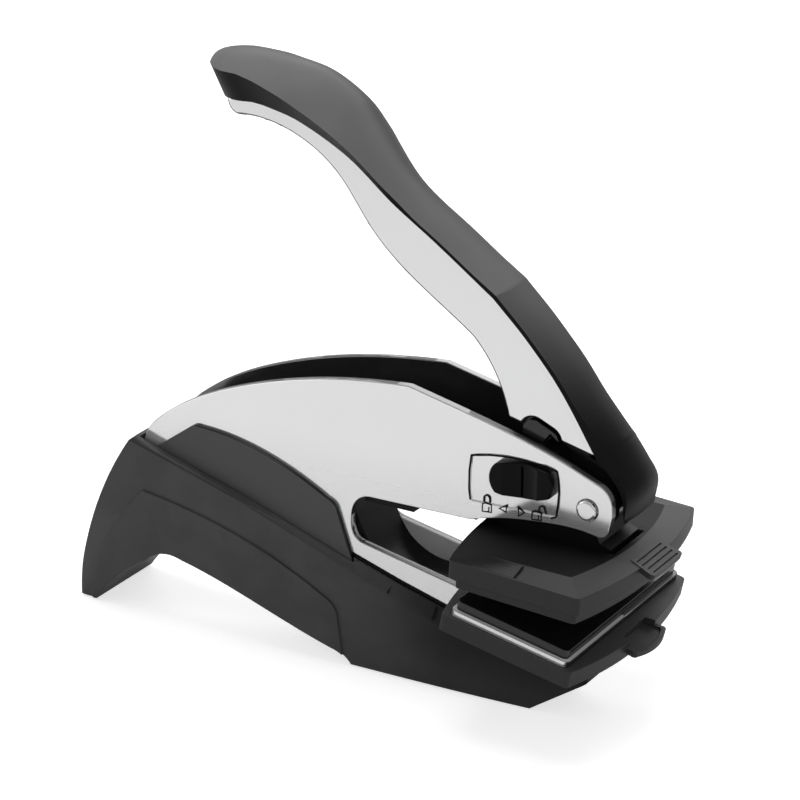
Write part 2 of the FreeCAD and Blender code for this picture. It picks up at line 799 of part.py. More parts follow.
def palm_limit():
    """Raked prism that rounds the palm's rear end in plan."""
    w = palm_half_width + 0.2
    x0 = palm_end
    line, arc = Part.LineSegment, Part.Arc

    def p(x, y):
        return Vector(x, y, palm_edge_height)

    edges = [arc(p(x0 + w, -w), p(x0, 0), p(x0 + w, w)), line(p(x0 + w, w), p(span, w)),
             line(p(span, w), p(span, -w)), line(p(span, -w), p(x0 + w, -w))]
    plan = Part.Face(Part.Wire([e.toShape() for e in edges]))
    up, down = span / 4, span
    lower = plan.extrude(Vector(palm_rake * down, 0, -down))
    return lower.fuse(plan.extrude(Vector(-palm_rake * up, 0, up)))


# ---- press arm and upper leaf -------------------------------------------------------

def bowed_plate(rear, front, half, bow_rear, bow_front, corner, w0, w1):
    """Plate in its own plane, with bowed front and rear edges and rounded corners."""
    return Part.Face(bowed_wire(rear, front, half, bow_rear, bow_front, corner, w0)) \
        .extrude(Vector(0, 0, w1 - w0))


def bowed_wire(rear, front, half, bow_rear, bow_front, corner, w):
    r = corner
    k = r * (1 - math.sqrt(0.5))
    line, arc = Part.LineSegment, Part.Arc

    def p(x, y):
        return Vector(x, y, w)

    edges = [arc(p(rear, -half + r), p(rear - bow_rear, 0), p(rear, half - r)),
             arc(p(rear, half - r), p(rear + k, half - k), p(rear + r, half)),
             line(p(rear + r, half), p(front - r, half)),
             arc(p(front - r, half), p(front - k, half - k), p(front, half - r)),
             arc(p(front, half - r), p(front + bow_front, 0), p(front, -half + r)),
             arc(p(front, -half + r), p(front - k, -half + k), p(front - r, -half)),
             line(p(front - r, -half), p(rear + r, -half)),
             arc(p(rear + r, -half), p(rear + k, -half + k), p(rear, -half + r))]
    return Part.Wire([e.toShape() for e in edges])


def placed_leaf(shape):
    shape.Placement = Placement(v(leaf_x, leaf_z), Rotation(Vector(0, 1, 0), leaf_pitch)) \
        .multiply(shape.Placement)
    return shape


def placed_tray(shape):
    shape.Placement = Placement(v(tray_x, tray_z), Rotation(Vector(0, 1, 0), tray_pitch)) \
        .multiply(shape.Placement)
    return shape


def field_pitch():
    """Extra pitch of the leaf's raised field against its rim."""
    run = 2 * (leaf_half_length - leaf_end_border)
    return math.degrees(math.atan2(leaf_rise_front - leaf_rise_rear, run))


def leaf_field(along):
    """Height of the raised field above the rim's plane."""
    mid = (leaf_rise_front + leaf_rise_rear) / 2
    return mid + along * math.tan(math.radians(field_pitch()))


slot_rear = 10.8              # hook slot of the leaf, along its own plane
slot_front = 13.6
slot_depth = 2.2


def finger_tab(front, half, reach, w0, w1, curl):
    """Tab on a bowed front edge; its own front is rounded by `curl`."""
    line, arc = Part.LineSegment, Part.Arc

    def p(x, y):
        return Vector(x, y, w0)

    r = 1.0
    k = r * (1 - math.sqrt(0.5))
    x1 = front + reach
    edges = [line(p(front - 3, -half + 0.8), p(front - 3, half - 0.8)),
             line(p(front - 3, half - 0.8), p(x1 - r - curl, half)),
             arc(p(x1 - r - curl, half), p(x1 - k - curl, half - k), p(x1 - curl, half - r)),
             arc(p(x1 - curl, half - r), p(x1, 0), p(x1 - curl, r - half)),
             arc(p(x1 - curl, r - half), p(x1 - k - curl, k - half), p(x1 - r - curl, -half)),
             line(p(x1 - r - curl, -half), p(front - 3, -half + 0.8))]
    return Part.Face(Part.Wire([e.toShape() for e in edges])) \
        .extrude(Vector(0, 0, w1 - w0))


def upper_leaf():
    half, front, rear = leaf_half_width, leaf_half_length, -leaf_half_length
    body = bowed_plate(rear, front, half, leaf_bow - 0.4, leaf_bow, 1.2, -leaf_wall, 0)
    inner = bowed_wire(rear + leaf_end_border, front - leaf_end_border, half - leaf_border,
                       leaf_bow - 0.7, leaf_bow - 0.3, 0.6, leaf_field(0))
    inner.rotate(Vector(0, 0, leaf_field(0)), Vector(0, 1, 0), -field_pitch())
    outer = bowed_wire(rear, front, half, leaf_bow - 0.4, leaf_bow, 1.2, 0)
    body = body.fuse(Part.makeLoft([outer, inner], True, True))
    tab_front = front + leaf_bow
    tab = finger_tab(tab_front, upper_tab_half_width, upper_tab_reach,
                     upper_tab_proud - upper_tab_thick, upper_tab_proud, upper_tab_curl)
    body = body.fuse(on_border(tab, tab_front))
    slot_half = arm_half_width + 0.6
    slot = box(slot_rear, slot_front, -slot_half, slot_half,
               leaf_field(slot_rear) - slot_depth, 4)
    return placed_leaf(body.cut(tab_grooves(tab_front) + [slot]))


def on_border(shape, tab_front):
    """Shape tipped about the leaf's front edge to the slope of its border."""
    slope = math.degrees(math.atan2(leaf_rise_front, leaf_end_border))
    return turned(shape, tab_front, 0, slope)


def tab_grooves(tab_front):
    """Four plain grooves across the border and the tab, for the thumb."""
    grooves = []
    for i in range(4):
        at = tab_front - 1.7 + i * groove_pitch
        half = upper_tab_half_width - 1.4
        groove = box(at - groove_width / 2, at + groove_width / 2, -half, half,
                     upper_tab_proud - groove_depth, upper_tab_proud + 1)
        grooves.append(on_border(groove, tab_front))
    return grooves


def counter_die():
    c = counter_inset
    return placed_leaf(bowed_plate(
        c - leaf_half_length, leaf_half_length - c, leaf_half_width - c,
        leaf_bow - 0.6, leaf_bow - 0.4, 1.0, -leaf_wall - counter_thick, -leaf_wall))


def press_arm():
    """Arm inside the frame: tail, hinge hub and a flat beam onto the leaf."""
    y = arm_half_width
    jx, jz = jaw_pin_x, jaw_pin_z
    r = jaw_hub_radius
    up = math.tan(math.radians(leaf_pitch))

    def arm_top_z(x):
        return pivot_z - arm_drop - (x - pivot_x) * up

    def field_at(along):
        return on_pitch(leaf_x, leaf_z, leaf_pitch, along, leaf_field(along))

    rear_foot = field_at(-leaf_half_length - leaf_bow + leaf_end_border + 1.5)
    nose = field_at(slot_rear + 0.25)
    tip = field_at(slot_rear + 1.6)
    belly = throat_top() + 0.4      # over the leaf; lower between leaf and tail
    keel = throat_top() - 0.6
    leaf_rear = on_pitch(leaf_x, leaf_z, leaf_pitch, -leaf_half_length - leaf_bow, 0)[0]
    tail = throat_end + 2.2
    low = throat_top() - 2.4
    outline = wire(
        [(tail, low), (-13.0, low)],
        [(-13.0, low), (-11.2, keel)],
        [(-11.2, keel), (leaf_rear - 1.0, keel)],
        [(leaf_rear - 1.0, keel), (leaf_rear - 0.2, belly)],
        [(leaf_rear - 0.2, belly), (rear_foot[0] - 2.0, belly + 0.1)],
        [(rear_foot[0] - 2.0, belly + 0.1), rear_foot],
        [rear_foot, nose],
        [nose, (nose[0], nose[1] - slot_depth + 0.4)],
        [(nose[0], nose[1] - slot_depth + 0.4), (tip[0], nose[1] - slot_depth + 0.4)],
        [(tip[0], nose[1] - slot_depth + 0.4), (tip[0], tip[1] + 0.5)],
        [(tip[0], tip[1] + 0.5), (nose[0] - 1.2, tip[1] + 1.4)],
        [(nose[0] - 1.2, tip[1] + 1.4), (pivot_x + 0.5, arm_top_z(pivot_x + 0.5))],
        [(pivot_x + 0.5, arm_top_z(pivot_x + 0.5)), (4, arm_top_z(4))],
        [(4, arm_top_z(4)), (jx + r * 1.6, jz - r * 0.1), (jx + r * 0.6, jz + r * 0.8)],
        [(jx + r * 0.6, jz + r * 0.8), (jx, jz + r), (jx - r * 0.6, jz + r * 0.8)],
        [(jx - r * 0.6, jz + r * 0.8), (tail + 3, spring_tip_z())],
        [(tail + 3, spring_tip_z()), (tail, spring_tip_z() - 2.5)],
        [(tail, spring_tip_z() - 2.5), (tail, low)])
    body = slab(outline, -y, y)
    return body.cut(pin(jaw_pin_radius + run_clear, jx, jz, -y - 1, y + 1))


def jaw_pin():
    half = plate_in + jaw_pin_seat
    return pin(jaw_pin_radius, jaw_pin_x, jaw_pin_z, -half, half)


# ---- lower tray, backing plate and die ----------------------------------------------

def lower_tray():
    half, front, rear = leaf_half_width, tray_half_length, -tray_half_length
    body = bowed_plate(rear, front, half, tray_bow, tray_bow, 1.2, -tray_wall, 0)
    tab_front = front + tray_bow
    top = -lower_tab_drop
    tab = finger_tab(tab_front, lower_tab_half_width, lower_tab_reach,
                     top - lower_tab_thick, top, lower_tab_curl)
    hollow = finger_tab(tab_front + 0.4, lower_tab_half_width - 1.2, lower_tab_reach - 1.4,
                        top - lower_tab_scoop, 2, lower_tab_curl - 0.3)
    body = body.fuse(tab).cut(hollow)
    return placed_tray(body)


def die_backplate():
    n = backplate_half_length
    return placed_tray(bowed_plate(-n, n, backplate_half_width, 0.01, 0.01, 1.6,
                                   0, backplate_thick))


def die_plate():
    n = die_half_length
    return placed_tray(bowed_plate(-n, n, die_half_width, 0.01, 0.01, 1.2,
                                   backplate_thick, stack))


# ---- lock slide ---------------------------------------------------------------------

def lock_button():
    """Scooped thumb button; its bolt passes through the slot in the plate."""
    x0, x1 = button_x - button_length / 2, button_x + button_length / 2
    z0, z1 = button_z - button_height / 2, button_z + button_height / 2
    zm = button_z
    outline = wire([(x0 + 1.5, z1 - 1.0), (button_x, z1), (x1 - 1.1, z1 - 0.8)],
                   [(x1 - 1.1, z1 - 0.8), (x1, zm + 0.1), (x1 - 0.6, z0 + 1.7)],
                   [(x1 - 0.6, z0 + 1.7), (button_x, z0), (x0 + 1.5, z0 + 0.4)],
                   [(x0 + 1.5, z0 + 0.4), (x0, zm - 0.7), (x0 + 1.5, z1 - 1.0)])
    base_y = plate_out - recess_depth + run_clear
    face_y = plate_out + button_proud
    body = slab(outline, -face_y, -base_y)
    scoop = Part.makeCylinder(9, 20, Vector(button_x, -face_y - 7.9, zm - 10))
    groove = box(button_x - 0.25, button_x + 0.25, -face_y - 1, -face_y + 1.8,
                 zm - 3.6, zm + 3.2)
    return body.cut([scoop, groove])


def lock_bolt():
    """Square bolt with the collar that holds the slide to the plate."""
    hx, hz = bolt_length / 2, bolt_height / 2
    back = -(plate_out - recess_depth + run_clear)
    bolt = box(bolt_x - hx, bolt_x + hx, back, bolt_reach - plate_in - 1.8,
               bolt_z - hz, bolt_z + hz)
    collar = box(bolt_x - hx - 0.8, bolt_x + hx + 0.8, -plate_in + 0.1,
                 -plate_in + 0.1 + collar_thick, bolt_z - hz - 0.9, bolt_z + hz + 0.9)
    return bolt.fuse(collar)


# ---- return spring ------------------------------------------------------------------

spring_seat = 58.0            # top of the spacer, where the spring is screwed down


def spring_screw_x():
    return throat_end - 10


def spring_tip_z():
    return 56.6


def return_spring():
    """Flat spring, screwed to the spacer, that presses the arm's tail down."""
    t = spring_thick
    x0, x1 = throat_end - 14, throat_end - 5.5
    tip = throat_end + 7.5
    z0 = spring_seat
    rise = z0 + 1.0
    outline = wire(
        [(x0, z0), (x1, z0)],
        [(x1, z0), ((x1 + tip) / 2, rise), (tip, spring_tip_z() + 0.05)],
        [(tip, spring_tip_z() + 0.05), (tip + 0.4, spring_tip_z() + 0.05 + t)],
        [(tip + 0.4, spring_tip_z() + 0.05 + t), ((x1 + tip) / 2, rise + t), (x1, z0 + t)],
        [(x1, z0 + t), (x0, z0 + t)],
        [(x0, z0 + t), (x0, z0)])
    strip = slab(outline, -spring_width / 2, spring_width / 2)
    return strip.cut(Part.makeCylinder(1.15, 8, v(spring_screw_x(), 54), Vector(0, 0, 1)))


def spring_screw():
    x = spring_screw_x()
    z = spring_seat + spring_thick
    shank = Part.makeCylinder(0.95, 6.5, v(x, z - 6.5), Vector(0, 0, 1))
    head = Part.makeCylinder(1.9, 0.8, v(x, z), Vector(0, 0, 1))
    return shank.fuse(head)


# ---- export -------------------------------------------------------------------------

def main():
    os.makedirs("parts", exist_ok=True)
    save("base_shell", base_shell())
    save("foot_pad_front", foot_pad_front())
    save("foot_pad_rear", foot_pad_rear())
    save("base_screws", base_screws())
    save("side_cover_right", side_cover(-1))
    save("side_cover_left", side_cover(1))
    save("frame_plate_right", frame_plate(-1))
    save("frame_plate_left", frame_plate(1))
    save("pivot_rivet", pivot_rivet())
    save("cross_pins", cross_pin_set())
    save("throat_spacer", throat_spacer())
    save("bed_block", bed_block())
    save("lower_tray", lower_tray())
    save("die_backplate", die_backplate())
    save("die_plate", die_plate())
    save("jaw_pin", jaw_pin())
    save("return_spring", return_spring())
    save("spring_screw", spring_screw())
    save("lever_channel", lever_channel())
    save("lever_core", lever_core())
    save("hub_bush", hub_bush())
    save("press_cam", press_cam())
    save("striker", striker())
    save("grip", grip())
    save("press_arm", press_arm())
    save("upper_leaf", upper_leaf())
    save("counter_die", counter_die())
    save("lock_button", lock_button())
    save("lock_bolt", lock_bolt())
    print("jaw pin x", round(jaw_pin_x, 2), "jaw travel", round(jaw_travel, 2))


main()
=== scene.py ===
import json
import math

import bmesh
import bpy
from mathutils import Matrix, Vector

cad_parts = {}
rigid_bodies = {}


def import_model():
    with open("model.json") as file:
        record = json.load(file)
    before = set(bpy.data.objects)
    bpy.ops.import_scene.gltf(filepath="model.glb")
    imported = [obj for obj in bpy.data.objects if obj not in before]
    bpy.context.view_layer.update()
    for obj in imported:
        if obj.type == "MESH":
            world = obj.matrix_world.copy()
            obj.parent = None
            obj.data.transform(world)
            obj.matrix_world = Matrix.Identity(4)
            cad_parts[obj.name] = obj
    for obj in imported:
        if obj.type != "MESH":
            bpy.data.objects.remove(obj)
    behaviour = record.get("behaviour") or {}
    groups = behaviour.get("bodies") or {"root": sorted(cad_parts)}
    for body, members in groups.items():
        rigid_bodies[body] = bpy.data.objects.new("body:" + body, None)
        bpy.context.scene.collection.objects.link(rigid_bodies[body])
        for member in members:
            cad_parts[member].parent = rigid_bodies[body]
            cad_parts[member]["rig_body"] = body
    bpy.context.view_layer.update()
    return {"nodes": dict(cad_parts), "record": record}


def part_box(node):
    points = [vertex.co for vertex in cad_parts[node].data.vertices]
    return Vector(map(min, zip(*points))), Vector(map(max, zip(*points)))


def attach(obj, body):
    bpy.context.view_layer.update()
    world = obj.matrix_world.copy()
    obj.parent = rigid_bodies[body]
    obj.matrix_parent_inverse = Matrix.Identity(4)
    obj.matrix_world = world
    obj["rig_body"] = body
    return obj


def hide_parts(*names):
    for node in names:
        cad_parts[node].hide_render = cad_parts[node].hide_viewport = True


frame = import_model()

mm = 0.001  # sizes below are in millimetres where no other unit is named


# camera, floor and light

cameraSetup = {
    "place": (323.7, -580.2, 334.1),
    "azimuth": 30.70,  # degrees round the object
    "elevation": 21.78,
    "lens": 144,
    "sensor": 36,
    "sees": (0.05, 20),  # from and to, in metres
}


def addCamera(setup):
    turn, rise = math.radians(setup["azimuth"]), math.radians(setup["elevation"])
    back = Vector((math.sin(turn) * math.cos(rise), -math.cos(turn) * math.cos(rise), math.sin(rise)))
    right = Vector((math.cos(turn), math.sin(turn), 0))
    up = back.cross(right)
    data = bpy.data.cameras.new("mainCamera")
    data.lens = setup["lens"]
    data.sensor_width = setup["sensor"]
    data.clip_start, data.clip_end = setup["sees"]
    camera = bpy.data.objects.new("mainCamera", data)
    axes = Matrix((right, up, back)).transposed().to_4x4()
    camera.matrix_world = Matrix.Translation(Vector(setup["place"]) * mm) @ axes
    bpy.context.scene.collection.objects.link(camera)
    bpy.context.scene.camera = camera


# places and sizes in metres
lightSetup = {
    "overhead": {"place": (-0.10, 0.10, 0.95), "aim": (-0.02, 0, 0.05), "size": (0.55, 0.5), "watts": 3.7},
    "behind": {"place": (-0.14, 0.88, 0.60), "aim": (0, 0, 0.06), "size": (0.95, 0.36), "watts": 3.4},
    "front": {"place": (0.75, -0.75, 0.50), "aim": (0, 0, 0.05), "size": (0.6, 0.6), "watts": 0.9},
    "left": {"place": (-0.85, -0.55, 0.45), "aim": (0, 0, 0.05), "size": (0.5, 0.7), "watts": 1.2},
}


def addLights(setup):
    for name, values in setup.items():
        data = bpy.data.lights.new(name, "AREA")
        data.shape = "RECTANGLE"
        data.size, data.size_y = values["size"]
        data.energy = values["watts"]
        lamp = bpy.data.objects.new(name, data)
        lamp.location = values["place"]
        aim = Vector(values["aim"]) - Vector(values["place"])
        lamp.rotation_euler = aim.to_track_quat("-Z", "Y").to_euler()
        bpy.context.scene.collection.objects.link(lamp)


# shader maths: a Mask is one value that varies over a surface

class Mask:
    def __init__(self, board, socket):
        self.board = board
        self.socket = socket

    def calc(self, operation, *values):
        return self.board.node("ShaderNodeMath", {"operation": operation}, dict(enumerate(values)))

    def __add__(self, other):
        return self.calc("ADD", self, other)

    def __radd__(self, other):
        return self.calc("ADD", other, self)

    def __sub__(self, other):
        return self.calc("SUBTRACT", self, other)

    def __rsub__(self, other):
        return self.calc("SUBTRACT", other, self)

    def __mul__(self, other):
        return self.calc("MULTIPLY", self, other)

    def __rmul__(self, other):
        return self.calc("MULTIPLY", other, self)

    def __gt__(self, other):
        return self.calc("GREATER_THAN", self, other)

    def __lt__(self, other):
        return self.calc("LESS_THAN", self, other)

    def size(self):
        return self.calc("ABSOLUTE", self)

    def either(self, other):
        return self.calc("MAXIMUM", self, other)

    def between(self, low, high, toLow=0.0, toHigh=1.0):
        return self.board.node("ShaderNodeMapRange", {"interpolation_type": "SMOOTHSTEP"},
                               {0: self, 1: low, 2: high, 3: toLow, 4: toHigh})


class Board:
    # a node tree that nodes are added to
    def __init__(self, tree):
        self.tree = tree

    def node(self, kind, settings, values, out=0):
        made = self.tree.nodes.new(kind)
        for key, value in settings.items():
            setattr(made, key, value)
        for key, value in values.items():
            if isinstance(value, Mask):
                self.tree.links.new(value.socket, made.inputs[key])
            else:
                made.inputs[key].default_value = value
        return Mask(self, made.outputs[out])

    def part(self, name, vector):
        return self.node("ShaderNodeSeparateXYZ", {}, {0: vector}, name)

    def ray(self, name):
        return self.node("ShaderNodeLightPath", {}, {}, name)


class Finish(Board):
    # one material on a Principled shader; fixed holds the sockets that are the same all over
    def __init__(self, name, fixed):
        self.material = bpy.data.materials.new(name)
        self.material.use_nodes = True
        super().__init__(self.material.node_tree)
        self.shader = self.tree.nodes["Principled BSDF"]
        for socket, value in fixed.items():
            self.shader.inputs[socket].default_value = value
        self.place = self.node("ShaderNodeTexCoord", {}, {}, "Object")

    def feed(self, **sockets):
        names = {"colour": "Base Color", "roughness": "Roughness", "metallic": "Metallic",
                 "normal": "Normal", "glow": "Emission Color"}
        for key, value in sockets.items():
            self.tree.links.new(value.socket, self.shader.inputs[names[key]])
        return self.material

    def along(self, axis, band, toLow=0.0, toHigh=1.0):
        # goes from toLow to toHigh over a band of places on one axis
        return self.part(axis, self.place).between(band[0] * mm, band[1] * mm, toLow, toHigh)

    def stretched(self, x, y, z):
        scale = (x, y, z)
        return self.node("ShaderNodeVectorMath", {"operation": "MULTIPLY"}, {0: self.place, 1: scale})

    def noise(self, grainMm, detail=2.0, place=None):
        return self.node("ShaderNodeTexNoise", {},
                         {"Vector": place or self.place, "Scale": 1 / (grainMm * mm), "Detail": detail})

    def facing(self, name, normal="Normal"):
        return self.part(name, self.node("ShaderNodeNewGeometry", {}, {}, normal))

    def mixed(self, mask, first, second):
        return self.node("ShaderNodeMix", {"data_type": "RGBA"}, {0: mask, 6: first, 7: second}, 2)

    def bump(self, height, depthMm, edgeMm=0.0):
        # edgeMm makes hard edges look rounded
        values = {"Height": height, "Distance": depthMm * mm, "Strength": 1.0}
        if edgeMm:
            values["Normal"] = self.node("ShaderNodeBevel", {"samples": 6}, {"Radius": edgeMm * mm})
        return self.node("ShaderNodeBump", {}, values)


def grey(level, warm=0.0):
    return (level * (1 + warm), level, level * (1 - warm), 1)


# finishes; greys, roughness and gloss are shares, and a facing is how far a face looks along an axis

charcoalLook = {
    "dark": 0.049, "light": 0.061, "cloud": 9, "cloudBand": (0.3, 0.7),
    "grain": 0.22, "depth": 0.012, "edge": 0.35,
    "roughness": 0.42, "uneven": 0.12, "gloss": 0.27,
    "nose": 0.004, "noseRoughness": 0.1,  # painted shadow of the tray on the base, which is also duller there
    "noseX": (-28, 2), "noseZ": (0, 14), "noseFoot": 0.55,
}


def charcoalFinish(look):
    finish = Finish("charcoalPlastic", {"Specular IOR Level": look["gloss"]})
    cloud = finish.noise(look["cloud"], 3)
    grain = finish.noise(look["grain"], 3)
    # painted shadow: the base is darkened under the tray, less at the foot
    nose = finish.along("X", look["noseX"]) * finish.along("Z", look["noseZ"], look["noseFoot"], 1.0)
    plain = finish.mixed(cloud.between(*look["cloudBand"]), grey(look["dark"]), grey(look["light"]))
    finish.feed(colour=finish.mixed(nose, plain, grey(look["nose"])),
                roughness=look["roughness"] + grain * look["uneven"] + nose * look["noseRoughness"],
                normal=finish.bump(grain, look["depth"], look["edge"]))
    return finish.material


coverLook = {
    # the edge grey is painted shade
    "matte": 0.062, "edge": 0.004, "flatFacing": (0.80, 0.90), "grain": 0.22, "depth": 0.012,
    "roughness": 0.16, "matteRoughness": 0.30, "uneven": 0.06, "gloss": 0.42,
}


def coverFinish(look):
    # the flat faces are matte; the edges round them are painted glossy black as the shade of the gap beside
    # the plate
    finish = Finish("coverPlastic", {"Specular IOR Level": look["gloss"]})
    flat = finish.facing("Y").size().between(*look["flatFacing"])
    grain = finish.noise(look["grain"], 3)
    finish.feed(colour=finish.mixed(flat, grey(look["edge"]), grey(look["matte"])),
                roughness=look["roughness"] + flat * look["matteRoughness"] + grain * look["uneven"],
                normal=finish.bump(grain * flat, look["depth"]))
    return finish.material


plateLook = {
    "colour": 0.90, "shade": 0.97, "tint": 0.004,
    "brush": 0.05, "brushStretch": 0.06, "wave": 14, "depth": 0.05, "brushDepth": 0.02,
    "roughness": 0.055, "brushed": 0.10, "uneven": 0.05, "dulled": 0.35,
    "inner": 0.16, "throat": 0.80, "innerFrom": (44, 46),  # painted shade on inner faces above the throat; below it they are dull grey
    "under": 0.015, "edge": 0.42, "throatEdge": 0.20,  # painted shade: edges that face down or back are near black, the others darker than the faces
    "edgeFacing": (0.60, 0.95), "downFacing": -0.1, "backFacing": -0.5,
    "foldFacing": (0.90, 0.99), "foldDown": -0.05, "foldAbove": 60,  # painted shade on rounded edges that face down, high on the plate
    "polish": 0.88, "lowPolish": 0.68, "polishFrom": (42, 58),  # above the marks and below them
}


def plateFinish(look):
    finish = Finish("brightPlate", {})
    brush = finish.noise(look["brush"], 2, finish.stretched(look["brushStretch"], 1, 1))
    cloud = finish.noise(look["wave"], 2)
    side = finish.facing("Y")
    inner = finish.part("Y", finish.place) * side < 0
    high = finish.along("Z", look["innerFrom"])
    dull = inner * (1 - high)
    edge = 1 - side.size().between(*look["edgeFacing"])
    under = (finish.facing("Z") < look["downFacing"]).either(finish.facing("X") < look["backFacing"])
    foldShade = 1 - finish.facing("Y", "True Normal").size().between(*look["foldFacing"])
    foldShade = foldShade * (finish.facing("Z", "True Normal") < look["foldDown"])
    foldShade = foldShade * (finish.part("Z", finish.place) > look["foldAbove"] * mm)
    colour = finish.mixed(cloud, grey(look["colour"] * look["shade"], look["tint"]),
                          grey(look["colour"], -look["tint"]))
    # painted shade: edges are darker than the faces, darker still low by the throat
    colour = finish.mixed(edge, colour, finish.mixed(high, grey(look["throatEdge"]), grey(look["edge"])))
    # painted shade on the inner faces above the throat
    colour = finish.mixed(inner, colour, finish.mixed(high, grey(look["throat"]), grey(look["inner"])))
    wear = brush * look["brushed"] + cloud * look["uneven"] + (edge + dull) * look["dulled"]
    polish = finish.along("Z", look["polishFrom"], look["lowPolish"], look["polish"])
    # painted shade, near black, on edges that face down or back and on the rounded edges high up
    finish.feed(colour=finish.mixed((under * edge).either(foldShade), colour, grey(look["under"])),
                metallic=polish * (1 - dull), roughness=look["roughness"] + wear,
                normal=finish.bump(cloud + brush * look["brushDepth"], look["depth"]))
    return finish.material


glossLooks = {
    "black_gloss": {"name": "blackGloss", "level": 0.006, "roughness": 0.10, "gloss": 0.55},
    "throat": {"name": "throatBlack", "level": 0.003, "roughness": 0.38, "gloss": 0.16},
    "button": {"name": "buttonBlack", "level": 0.002, "roughness": 0.22, "gloss": 0.10},
    "die_black": {"name": "dieBlack", "level": 0.005, "roughness": 0.16, "gloss": 0.55},
}
glossSurface = {
    "cloud": 6, "paler": 1.5, "depth": 0.03, "uneven": 0.03,
    "dust": 0.12, "dustBand": (0.55, 0.75), "dustRoughness": 0.06,
}


def glossFinish(look, surface):
    finish = Finish(look["name"], {"Specular IOR Level": look["gloss"]})
    cloud = finish.noise(surface["cloud"], 2)
    dust = finish.noise(surface["dust"], 1).between(*surface["dustBand"])
    finish.feed(colour=finish.mixed(cloud, grey(look["level"]), grey(look["level"] * surface["paler"])),
                roughness=look["roughness"] + dust * surface["dustRoughness"] + cloud * surface["uneven"],
                normal=finish.bump(cloud, surface["depth"]))
    return finish.material


satinLook = {
    # the greys of level faces, borders and sides are painted light and shade on one black
    "top": 0.004, "border": 0.066, "side": 0.033, "levelFacing": (0.986, 0.994), "slopeFacing": (0.3, 0.5),
    "cloud": 7, "grain": 0.12, "depth": 0.004, "edge": 0.2,
    "roughness": 0.43, "uneven": 0.10, "cloudy": 0.04, "topRoughness": 0.08, "gloss": 0.2,
}


def satinFinish(look):
    # painted light and shade: level faces are painted darker than the sloping borders and the sides
    finish = Finish("satinPlastic", {"Specular IOR Level": look["gloss"]})
    cloud = finish.noise(look["cloud"], 3)
    grain = finish.noise(look["grain"], 2)
    rise = finish.facing("Z", "True Normal")
    level = rise.between(*look["levelFacing"])
    sloping = finish.mixed(rise.between(*look["slopeFacing"]), grey(look["side"]), grey(look["border"]))
    wear = grain * look["uneven"] + cloud * look["cloudy"] + level * look["topRoughness"]
    finish.feed(colour=finish.mixed(level, sloping, grey(look["top"])), roughness=look["roughness"] + wear,
                normal=finish.bump(grain, look["depth"], look["edge"]))
    return finish.material


gripLook = {
    "palm": 0.190, "top": 0.155, "palmFrom": (105, 128),  # the crown, painted paler as a highlight, most of all high on the palm
    "far": 0.065, "farFacing": (-0.2, 0.35),  # painted shade where it falls to the far side
    "front": 0.090, "nose": 0.003, "noseFrom": (58, 97),  # painted shade on the steep front, black towards the nose
    "frontFacing": (0.60, 0.68), "frontFrom": (90, 74), "frontTop": 97,
    # painted shade: the sides and the faces that do not look up are near black
    "side": 0.002, "sideFacing": (0.80, 0.88), "upFacing": (-0.05, 0.2),
    "cloud": 11, "cloudBand": (0.3, 0.7), "clouded": 0.12, "grain": 0.16, "depth": 0.006,
    "roughness": 0.40, "uneven": 0.12, "cloudy": 0.08, "gloss": 0.13,
}


def gripFinish(look):
    # painted highlight on the crown; painted shade on the far side, the steep front, the sides and the nose
    finish = Finish("softGrip", {"Specular IOR Level": look["gloss"]})
    cloud = finish.noise(look["cloud"], 3)
    grain = finish.noise(look["grain"], 3)
    # painted shade on the steep front below the kink
    front = finish.facing("X").between(*look["frontFacing"]).either(finish.along("Z", look["frontFrom"]))
    front = front * (finish.part("Z", finish.place) < look["frontTop"] * mm)
    side = finish.facing("Y").size().between(*look["sideFacing"])
    side = side.either(1 - finish.facing("Z").between(*look["upFacing"]))
    high = finish.along("Z", look["noseFrom"])
    # painted highlight on the crown, paler high on the palm
    crownLightAndShade = finish.mixed(finish.along("Z", look["palmFrom"]), grey(look["top"]), grey(look["palm"]))
    patches = cloud.between(*look["cloudBand"], 0, look["clouded"])
    crownLightAndShade = finish.mixed(patches, crownLightAndShade, grey(look["front"]))
    crownLightAndShade = finish.mixed(finish.facing("Y").between(*look["farFacing"]), crownLightAndShade, grey(look["far"]))
    steepShade = finish.mixed(high * high, grey(look["nose"]), grey(look["front"]))
    finish.feed(colour=finish.mixed(side, finish.mixed(front, crownLightAndShade, steepShade), grey(look["side"])),
                roughness=look["roughness"] + grain * look["uneven"] + cloud * look["cloudy"],
                normal=finish.bump(grain, look["depth"]))
    return finish.material


steelLooks = {
    "zinc": {"name": "zincSteel", "colour": (0.56, 0.57, 0.58, 1), "roughness": 0.25},
    "bronze": {"name": "sinteredBronze", "colour": (0.60, 0.42, 0.22, 1), "roughness": 0.33},
}
steelSurface = {
    "brush": 0.08, "brushStretch": 0.1, "brushed": 0.16, "depth": 0.004,
    "stain": 1.4, "stainBand": (0.35, 0.7), "stainFade": (0.8, 0.8, 0.78, 1), "stained": 0.08,
}


def steelFinish(look, surface):
    finish = Finish(look["name"], {"Metallic": 1.0})
    brush = finish.noise(surface["brush"], 3, finish.stretched(1, surface["brushStretch"], 1))
    stain = finish.noise(surface["stain"], 4)
    tint = [share * fade for share, fade in zip(look["colour"], surface["stainFade"])]
    finish.feed(colour=finish.mixed(stain.between(*surface["stainBand"]), look["colour"], tint),
                roughness=look["roughness"] + brush * surface["brushed"] + stain * surface["stained"],
                normal=finish.bump(brush, surface["depth"]))
    return finish.material


rubberLook = {
    "dark": 0.012, "light": 0.022, "grain": 0.3, "depth": 0.03,
    "roughness": 0.75, "uneven": 0.15, "gloss": 0.3,
}


